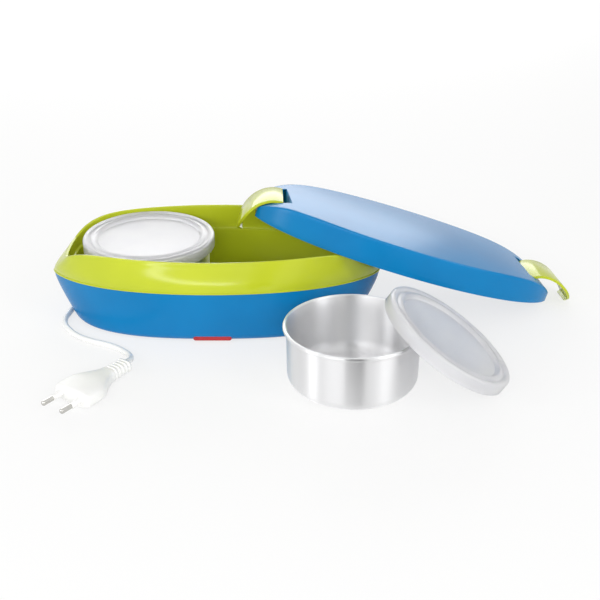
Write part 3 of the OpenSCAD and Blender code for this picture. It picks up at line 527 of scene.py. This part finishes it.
latch["radiusX"] = latch["out"] - latch["centreX"]
latch["radiusZ"] = latch["top"] + latch["drop"]

lidFrame = (Matrix.Translation(lid["place"]) @ Matrix.Rotation(math.radians(lid["tilt"]), 4, "Y")
            @ Matrix.Rotation(math.radians(lid["roll"]), 4, "X"))
leftward = Matrix.Rotation(math.pi, 4, "Z")

def lidSide(x):
    return lid["height"] - (lid["height"] - lid["tipHeight"]) * min(abs(x) / lid["a"], 1) ** 8

def lidPoint(t, off, share, dz):
    x = -(lid["a"] + off) * math.cos(t)
    return (x, (lid["b"] + off) * math.sin(t), share * lidSide(x) + dz)

def lidTopPoint(t, s, off, dz):
    x, y, _ = lidPoint(t, off, 1, dz)
    rise = lid["crown"] * (1 - s * s) * (1 - min(abs(x * s) / lid["a"], 1) ** 4)
    return (x * s, y * s, lidSide(x * s) + dz + rise)

lidRows = (0.97, 0.93, 0.87, 0.8, 0.7, 0.6, 0.5, 0.4, 0.3, 0.2, 0.12, 0.05)

def lidSkin():
    wall = lid["wall"]
    rings = [outline(lambda t, s=s: lidTopPoint(t, s, -wall - 0.8, -wall)) for s in
             (0.04, 0.15, 0.3, 0.45, 0.6, 0.75, 0.88, 0.97)]
    rings += [outline(lambda t: lidPoint(t, -wall - 0.5, 0.8, 0)), outline(lambda t: lidPoint(t, -wall - 0.1, 0.4, 0)),
              outline(lambda t: lidPoint(t, -wall, 0.03, 0.2))]
    rings += [outline(lambda t, o=o, d=d: lidPoint(t, o, 0, d)) for o, d in ((-wall, 0), (-0.6, 0), (-0.2, 0.12))]
    rings += [outline(lambda t, s=s: lidPoint(t, 0, s, 0.5 * (1 - s))) for s in (0.02, 0.2, 0.4, 0.6, 0.8, 0.9)]
    rings += [outline(lambda t: lidPoint(t, -0.12, 0.95, 0)), outline(lambda t: lidPoint(t, -0.5, 0.985, 0))]
    rings += [outline(lambda t, s=s: lidTopPoint(t, s, 0, 0)) for s in (0.988,) + lidRows]
    return meshObject("lidShell", *loft(rings), "blue", 30)

def lidFilled():  # the same form, filled and a little smaller
    rings = [outline(lambda t: lidPoint(t, -0.8, 0, 0.4)), outline(lambda t: lidPoint(t, -0.8, 0.9, -0.6))]
    rings += [outline(lambda t, s=s: lidTopPoint(t, s, -0.8, -0.8)) for s in lidRows]
    return meshObject("lidFilled", *loft(rings), "blue", 30)

def sidePrism(name, profile, width, turn=Matrix.Identity(4)):  # profile in XZ, spread over the width
    upright = Matrix.Rotation(math.radians(90), 4, "X")
    return prism(name, profile, -width / 2, width / 2, "blue", turn @ upright)

def latchCurve(inward, start, stop, count=28):
    points = []
    for i in range(count + 1):
        a = math.radians(start + (stop - start) * i / count)
        points.append((latch["centreX"] + (latch["radiusX"] - inward) * math.cos(a),
                       -latch["drop"] + (latch["radiusZ"] - inward) * math.sin(a)))
    return points

def fingerNotch(edge, turn):  # one slanting facet beside the pocket, from nothing to its full width
    n, half = lid["notch"], lid["pocketW"] / 2 - 0.3
    points = [(edge + 3, half, n["low"]), (edge, half, n["low"]), (edge - n["width"], half, n["high"]),
              (edge + 3, half, n["high"]), (edge + 3, -half, n["low"]), (edge, -half, n["low"]),
              (edge, -half, n["apex"]), (edge, -half, n["high"]), (edge + 3, -half, n["high"])]
    faces = [(0, 1, 2, 3), (1, 0, 4, 5), (2, 1, 6), (1, 5, 6), (2, 6, 7), (3, 2, 7, 8), (0, 3, 8, 4),
             (4, 8, 7, 6, 5)]
    return meshObject("fingerNotch", [tuple(turn @ Vector(p)) for p in points], faces, "blue")

def makeLid():
    a, hx, hz, cutX = lid["a"], lid["hingeX"], latch["hingeZ"], lid["a"] - lid["blunt"]
    back = hx - math.hypot(latch["inset"], latch["top"] - hz) - lid["swing"]  # clears the latch's root as it turns
    low, rimEnd = hz - latch["knuckle"], base["rimL"] + base["endBow"]
    shell = lidSkin()
    for turn in (Matrix.Identity(4), leftward):
        for profile, width in (
                ([(back - 2, 60), (back - 2, low - 3), (rimEnd + 0.5, low - 3), (rimEnd + 2, -1), (a, -1), (a, 60)],
                 lid["pocketW"] + 4.8),
                ([(cutX - lid["wall"], -1), (cutX + 2, -1), (cutX + 2, 60), (cutX - lid["wall"], 60)], 2 * lid["b"])):
            block = sidePrism("endBlock", profile, width, turn)
            carve(block, lidFilled(), "INTERSECT")
            carve(shell, block, "UNION")
    for turn in (Matrix.Identity(4), leftward):
        carve(shell, sidePrism("endCut", latchCurve(latch["thick"] + lid["gap"], 90, -20)
                               + [(a + 30, -40), (a + 30, 60), (latch["centreX"], 60)], lid["pocketW"], turn))
        carve(shell, sidePrism("pocket", [(back, low - 0.8), (hx + 4, low - 0.8), (hx + 4, 60), (back, 60)],
                               lid["pocketW"], turn))
        carve(shell, fingerNotch(back, turn))
        carve(shell, sidePrism("bluntEnd", [(cutX, -1), (a + 20, -1), (a + 20, 60), (cutX, 60)], 2 * lid["b"], turn))
        carve(shell, sidePrism("pinHole", disc(lid["pinD"] / 2, 32, hx, hz), lid["pocketW"] + 4, turn))
    shell.data.transform(Matrix.Scale(1 / mm, 4))
    shell.data.transform(Matrix.Scale(mm, 4) @ lidFrame)
    finishMesh(shell, "blue", 26)
    return shell

def makeLatch(name, turn, angle):
    hx, hz, half = lid["hingeX"], latch["hingeZ"], latch["width"] / 2
    out, inner, tip = latch["out"], latch["out"] - latch["thick"], -latch["drop"] - 2.5
    r = latch["knuckle"]
    neck = math.degrees(math.acos((hx + r * math.cos(math.radians(42)) - latch["centreX"])
                                  / (latch["radiusX"] - latch["thick"])))
    blade = latchCurve(0, 92, 6) + [(out, -latch["drop"]), (out - 0.1, tip + 1), (out - 0.5, tip), (inner - 1, tip),
                                    (inner - 2.6, tip + 0.8), (inner - 2.6, tip + 1.6), (inner + 0.1, tip + 2.3)]
    blade += latchCurve(latch["thick"], 0, neck) + arc(hx, hz, r, 42, -222, 40)
    body = sidePrism(name, blade, latch["width"])
    taper = [(-half, 60), (-half, 2)]
    narrow = 1 - latch["tipShare"]
    taper += [(-half * (1 - narrow * k ** 1.8), 2 + (tip - 2) * k) for k in [0.1 * i for i in range(1, 10)]]
    taper += [(-half * (1 - narrow), tip + 0.6), (-half * (0.95 - narrow), tip - 0.1)]
    taper = [(-x, z) for x, z in taper] + list(reversed(taper))
    upright = Matrix.Rotation(math.radians(90), 4, "Z") @ Matrix.Rotation(math.radians(90), 4, "X")
    carve(body, prism("taper", taper, 0, 300, "green", upright), "INTERSECT")
    carve(body, sidePrism("pinBore", disc(lid["pinD"] / 2 + 0.05, 32, hx, hz), latch["width"] + 2))
    edges = body.modifiers.new("softEdges", "BEVEL")
    edges.width, edges.segments, edges.limit_method = latch["softEdge"] * mm, 3, "ANGLE"
    edges.angle_limit = math.radians(40)
    bake(body)
    hinge = Vector((hx, 0, hz))
    swing = (Matrix.Translation(hinge) @ Matrix.Rotation(math.radians(-angle), 4, "Y") @ Matrix.Translation(-hinge))
    body.data.transform(Matrix.Scale(1 / mm, 4))
    body.data.transform(Matrix.Scale(mm, 4) @ lidFrame @ turn @ swing)
    finishMesh(body, "green", 35)
    return body

lidShell = makeLid()
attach(lidShell, "lid")
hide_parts("lid_shell")
for side, turn, angle in (("left", leftward, 0), ("right", Matrix.Identity(4), latch["open"])):
    piece = makeLatch(side + "Latch", turn, angle)
    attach(piece, "latch_" + side)
    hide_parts("latch_" + side)
print("lid and latches made")


# containers and their lids
container = {"r": 52.5, "height": 47, "steel": 0.8, "taper": 0.5, "corner": 9, "roll": 3}
clearLid = {"r": 54.5, "height": 4, "skirt": 6, "ring": 11.7, "wall": 1.4, "seal": 1.3, "seat": 0.3}
places = {"left": (-55.5, 0, 16.3), "right": (110, -123.5, 0)}
lean = {"tilt": 34.085, "out": 60}

def containerProfile():
    c = container
    top = c["r"] - c["roll"] + 0.3
    foot = top - c["taper"]
    rim = c["height"] - c["roll"] / 2
    outer = [(0, 0)] + arc(foot - c["corner"], c["corner"], c["corner"], -90, 0, 14)
    outer += [(top - 0.1, rim - 9), (top, rim - 1.2)]
    bead = arc(c["r"] - c["roll"] / 2, rim, c["roll"] / 2, 230, 540, 28)
    inner = [(top - c["steel"], rim - 1), (top - c["steel"] - 0.1, rim - 9)]
    inner += arc(foot - c["corner"], c["corner"], c["corner"] - c["steel"], 0, -90, 14) + [(0, c["steel"])]
    return outer + bead + inner

def clearLidProfile():
    c, top = clearLid, container["r"] - container["roll"] + 0.3
    r, h, w = c["r"], c["height"], c["wall"]
    r1, mid, inside, low = r - c["ring"], r - c["ring"] / 2, top - container["steel"] - 0.6, c["seat"] + c["seal"]
    upper = [(0, h - 3), (r1 - 1.4, h - 3)] + arc(r1 - 1.4, h - 2, 1, -90, -20, 5)
    upper += [(r1 + 0.2, h - 1)] + arc(r1 + 2.2, h - 1.2, 1.2, 150, 60, 6)
    upper += [(mid - 2.2, h - 0.15), (mid - 1.2, h - 0.6), (mid - 0.5, h - 1.2), (mid, h - 1.35), (mid + 0.5, h - 1.2),
              (mid + 1.2, h - 0.6), (mid + 2.2, h - 0.15)]
    upper += arc(r - 2.2, h - 2.2, 2.2, 90, 0, 8)
    lower = [(r, -c["skirt"] + 0.4), (r - 0.4, -c["skirt"]), (r - w, -c["skirt"]), (r - w, low), (inside, low),
             (inside, -c["skirt"] + 1), (inside - w, -c["skirt"] + 1), (inside - w, low - 1), (r1 + 1, h - 3 - w),
             (0, h - 3 - w)]
    return upper + lower

def clearLidPose(side):
    x, y, z = places[side]
    if side == "left":
        return Matrix.Translation((x, y, z + container["height"]))
    tilt = math.radians(lean["tilt"])
    out = container["r"] + lean["out"] - clearLid["r"] * math.cos(tilt)
    return (Matrix.Translation((x + out, y, clearLid["r"] * math.sin(tilt) + 0.05)) @ Matrix.Rotation(tilt, 4, "Y")
            @ Matrix.Translation((0, 0, clearLid["skirt"])))

for side in ("left", "right"):
    pot = turned(side + "Container", containerProfile(), "steel", Matrix.Translation(places[side]), 192, 50)
    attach(pot, "container_" + side)
    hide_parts("container_" + side)
    cover = turned(side + "ClearLid", clearLidProfile(), "frosted", clearLidPose(side), 192, 50)
    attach(cover, "container_" + side + "_lid")
    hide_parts("container_" + side + "_lid")
print("containers made")


# plug, with its ribbed strain relief
plug = {"face": (-95.3, -159.5, 6.85), "turn": -125, "width": 35.3, "thick": 13.7, "length": 38, "relief": 19.5,
        "pitch": 18.6, "pinD": 4, "pinL": 19}
plugFrame = (Matrix.Translation(plug["face"]) @ Matrix.Rotation(math.radians(plug["turn"]), 4, "Z")
             @ Matrix.Rotation(math.radians(90), 4, "Y"))

def plugRing(d, w, h, count=72):
    ring = []
    for i in range(count):
        a = -math.tau * i / count
        ring.append((h / 2 * power(math.cos(a), 0.6), w / 2 * power(math.sin(a), 0.6), -d))
    return ring

def makePlug():
    w, t, l = plug["width"], plug["thick"], plug["length"]
    rings = [plugRing(0, w - 4.4, t - 3.2), plugRing(0.25, w - 3, t - 2.1), plugRing(0.7, w - 1.9, t - 1.3),
             plugRing(1.4, w - 0.8, t - 0.6), plugRing(2.2, w - 0.2, t - 0.15), plugRing(3, w, t)]
    knots = [(0.34, w, t), (0.43, w - 1.1, t), (0.53, w - 3.4, t - 0.2), (0.61, w * 0.79, t - 0.6),
             (0.7, w * 0.68, t - 1.1), (0.78, w * 0.56, t - 1.7), (0.86, w * 0.46, t - 2.3), (0.93, w * 0.4, t - 2.8),
             (1, 12.8, 10.6)]
    rings += [plugRing(l * k, a, b) for k, a, b in knots]
    end = l + plug["relief"]
    rings += [plugRing(l + 0.9, 12.8, 10.6), plugRing(l + 1.2, 12, 9.8), plugRing(l + 1.5, 11.4, 9.2),
              plugRing(end - 2.6, 11.4, 7.8), plugRing(end - 2.3, 12, 8.4), plugRing(end - 2, 12.7, 9.1),
              plugRing(end - 0.8, 12.6, 9), plugRing(end - 0.2, 11.8, 8.3), plugRing(end, 10.8, 7.6)]
    points, faces = loft(rings)
    body = meshObject("plugBody", [plugFrame @ Vector(p) for p in points], faces, "pvc", 45)
    for side in (-1, 1):
        sleeve = plugFrame @ Matrix.Translation((0, side * plug["pitch"] / 2, 0))
        profile = [(0, -1), (2.3, -1), (2.3, 8.6), (2.1, 8.95), (1.9, 9), (0, 9)]
        carve(body, turned("sleeve", profile, "pvc", sleeve, 40), "UNION")
    finishMesh(body, "pvc", 40)
    return body

def makePins():
    length = plug["pinL"]
    r, root = plug["pinD"] / 2, 4  # the root starts inside its sleeve
    profile = [(0, root), (r, root), (r, length - 1.6)] + arc(r - 1.3, length - 1.6, 1.3, 0, 70, 6)
    profile += [(0.6, length), (0, length)]
    pins = []
    for side in (-1, 1):
        across = plugFrame @ Matrix.Translation((0, side * plug["pitch"] / 2, 0))
        pins.append(turned("pin", profile, "nickel", across, 48))
    joined = bmesh.new()
    for pin in pins:
        joined.from_mesh(pin.data)
        bpy.data.objects.remove(pin)
    mesh = bpy.data.meshes.new("plugPins")
    joined.to_mesh(mesh)
    joined.free()
    obj = bpy.data.objects.new("plugPins", mesh)
    bpy.context.scene.collection.objects.link(obj)
    finishMesh(obj, "nickel", 40)
    return obj

ribs = {"first": 3.8, "corner": 0.6,
        "sizes": {"Ribs": 4, "Pitch": 3.6, "Width": 11.2, "Depth": 9.0, "Taper": 0.35, "Rib Radius": 0.8}}

def makeRibs():  # bending ribs that follow the relief's axis and get flatter towards the lead
    sizes = ribs["sizes"]
    tree, size = sizedTree("reliefRibs", sizes)

    step = addNode(tree, "ShaderNodeCombineXYZ", {"Z": calc(tree, "MULTIPLY", size["Pitch"], -1)})
    line = addNode(tree, "GeometryNodeMeshLine", {"Count": size["Ribs"], "Offset": step.outputs[0],
                                                  "Start Location": (0, 0, -(plug["length"] + ribs["first"]) * mm)})
    ring = addNode(tree, "GeometryNodeCurvePrimitiveCircle", {"Resolution": 72, "Radius": 1})
    where = addNode(tree, "ShaderNodeSeparateXYZ", {0: addNode(tree, "GeometryNodeInputPosition").outputs[0]})
    spot = addNode(tree, "ShaderNodeCombineXYZ")
    for axis, label in (("X", "Depth"), ("Y", "Width")):  # squarer than a circle, as the plug is
        bulge = calc(tree, "POWER", calc(tree, "ABSOLUTE", where.outputs[axis]), ribs["corner"])
        half = calc(tree, "MULTIPLY", calc(tree, "SIGN", where.outputs[axis]), calc(tree, "MULTIPLY", size[label], 0.5))
        tree.links.new(calc(tree, "MULTIPLY", bulge, half), spot.inputs[axis])
    shaped = addNode(tree, "GeometryNodeSetPosition", {"Geometry": ring.outputs[0], "Position": spot.outputs[0]})
    bead = addNode(tree, "GeometryNodeCurvePrimitiveCircle", {"Radius": size["Rib Radius"], "Resolution": 16})
    rib = addNode(tree, "GeometryNodeCurveToMesh", {"Curve": shaped.outputs[0], "Profile Curve": bead.outputs[0]})
    number = addNode(tree, "GeometryNodeInputIndex").outputs[0]
    less = calc(tree, "MULTIPLY", number, calc(tree, "DIVIDE", size["Taper"], size["Depth"]))
    scale = addNode(tree, "ShaderNodeCombineXYZ", {"X": calc(tree, "SUBTRACT", 1.0, less), "Y": 1, "Z": 1})
    rows = addNode(tree, "GeometryNodeInstanceOnPoints",
                   {"Points": line.outputs[0], "Instance": rib.outputs[0], "Scale": scale.outputs[0]})
    made = grow("reliefRibs", [(0, 0, 0)], tree, sizes, rows.outputs[0], "pvc")
    made.data.transform(Matrix.Scale(1 / mm, 4))
    made.data.transform(Matrix.Scale(mm, 4) @ plugFrame)
    return made

plugBody, plugPins, reliefRibs = makePlug(), makePins(), makeRibs()
for piece, node, slotName in ((plugBody, "plug_body", "white_plastic"), (reliefRibs, "plug_body", "white_plastic"),
                              (plugPins, "plug_pins", "pin_metal")):
    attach(piece, "base")
    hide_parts(node)
print("plug made")


# the CAD pieces that stay, each with its real finish
keptNodes = {"heater_plate_left": "aluminium", "heater_plate_right": "aluminium", "ptc_heater_left": "cream",
             "ptc_heater_right": "cream", "heater_strap_left": "nickel", "heater_strap_right": "nickel",
             "thermostat": "black", "thermal_fuse": "cream", "terminal_block": "cream", "wiring": "wire",
             "neon_lamp": "red", "indicator_lens": "red", "rubber_feet": "rubber",
             "cord_gland": "pvc", "cord_clamp": "cream", "cord_tie": "black", "latch_pins": "nickel",
             "container_left_seal": "silicone", "container_right_seal": "silicone"}
for node, finish in keptNodes.items():
    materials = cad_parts[node].data.materials
    materials.clear()
    materials.append(finishes[finish])

print("finishes given")


# floor and light, in metres
studio = {"world": 0.54, "floor": "#f4f4f3", "veil": 0.72,
          "lamps": (("key", (-0.4, -1.35, 0.66), (0.05, 0, 0.03), (1.3, 0.2), 5, True),
                    ("front", (0.15, -1.3, 0.62), (0.05, 0, 0.03), (0.7, 0.5), 4.5, False),
                    ("fill", (1.2, -0.9, 0.9), (0.1, 0, 0), (0.6, 0.9), 5, True),
                    ("side", (-1.2, -0.6, 0.5), (0.02, 0, 0.04), (0.3, 0.7), 3.5, True),
                    ("back", (-0.12, 1.7, 0.62), (0.1, 0, 0.05), (1.8, 0.9), 13.5, True)),
          "card": {"centre": (0.11, -0.1235), "reach": 0.14, "width": 26, "height": 1, "tone": "#1c1d1f"}}

def seenDirectly(tree):  # 1 where the camera, a reflection or a clear part looks, 0 where light is gathered
    path = addNode(tree, "ShaderNodeLightPath")
    either = calc(tree, "MAXIMUM", path.outputs["Is Camera Ray"], path.outputs["Is Glossy Ray"])
    return calc(tree, "MAXIMUM", either, path.outputs["Is Transmission Ray"])

def makeFloor(s):
    mesh = bpy.data.meshes.new("floor")
    mesh.from_pydata([(-6, -6, 0), (6, -6, 0), (6, 6, 0), (-6, 6, 0)], [], [(0, 1, 2, 3)])
    obj = bpy.data.objects.new("floor", mesh)
    bpy.context.scene.collection.objects.link(obj)
    mat, tree, shader, _ = newMaterial("paleFloor", Roughness=0.7)
    shader.inputs["Base Color"].default_value = linear(s["floor"])
    share = calc(tree, "MULTIPLY", seenDirectly(tree), s["veil"])
    white = addNode(tree, "ShaderNodeEmission", {"Strength": 1})
    blend = addNode(tree, "ShaderNodeMixShader", {0: share, 1: shader.outputs[0], 2: white.outputs[0]})
    tree.links.new(blend.outputs[0], tree.nodes["Material Output"].inputs["Surface"])
    mesh.materials.append(mat)

def makeWorld(s):
    world = bpy.data.worlds.new("studio")
    world.use_nodes = True
    tree = world.node_tree
    strength = calc(tree, "MULTIPLY_ADD", seenDirectly(tree), 1 - s["world"], s["world"])
    background = tree.nodes["Background"]
    background.inputs["Color"].default_value = (1, 1, 1, 1)
    tree.links.new(strength, background.inputs["Strength"])
    bpy.context.scene.world = world

def makeLamps(s):
    for name, place, target, size, energy, glints in s["lamps"]:
        light = bpy.data.lights.new(name, "AREA")
        light.shape, light.size, light.size_y, light.energy = "RECTANGLE", size[0], size[1], energy
        lamp = bpy.data.objects.new(name, light)
        lamp.location, lamp.visible_glossy = place, glints
        lamp.rotation_euler = (Vector(target) - Vector(place)).to_track_quat("-Z", "Y").to_euler()
        bpy.context.scene.collection.objects.link(lamp)

def makeCard(c):  # dark card in front of the loose container that only reflections see
    ends = [math.radians(-90 + side * c["width"] / 2) for side in (-1, 1)]
    low = [(c["centre"][0] + c["reach"] * math.cos(a), c["centre"][1] + c["reach"] * math.sin(a), 0.001) for a in ends]
    mesh = bpy.data.meshes.new("darkCard")
    mesh.from_pydata(low + [(x, y, c["height"]) for x, y, _ in reversed(low)], [], [(0, 1, 2, 3)])
    obj = bpy.data.objects.new("darkCard", mesh)
    bpy.context.scene.collection.objects.link(obj)
    mat, _, shader, _ = newMaterial("mattCard", Roughness=0.9)
    shader.inputs["Base Color"].default_value = linear(c["tone"])
    mesh.materials.append(mat)
    obj.visible_camera = obj.visible_diffuse = obj.visible_shadow = obj.visible_transmission = False

makeFloor(studio)
makeCard(studio["card"])
makeWorld(studio)
makeLamps(studio)
bpy.context.scene.view_settings.view_transform = "Standard"
print("floor and light made")
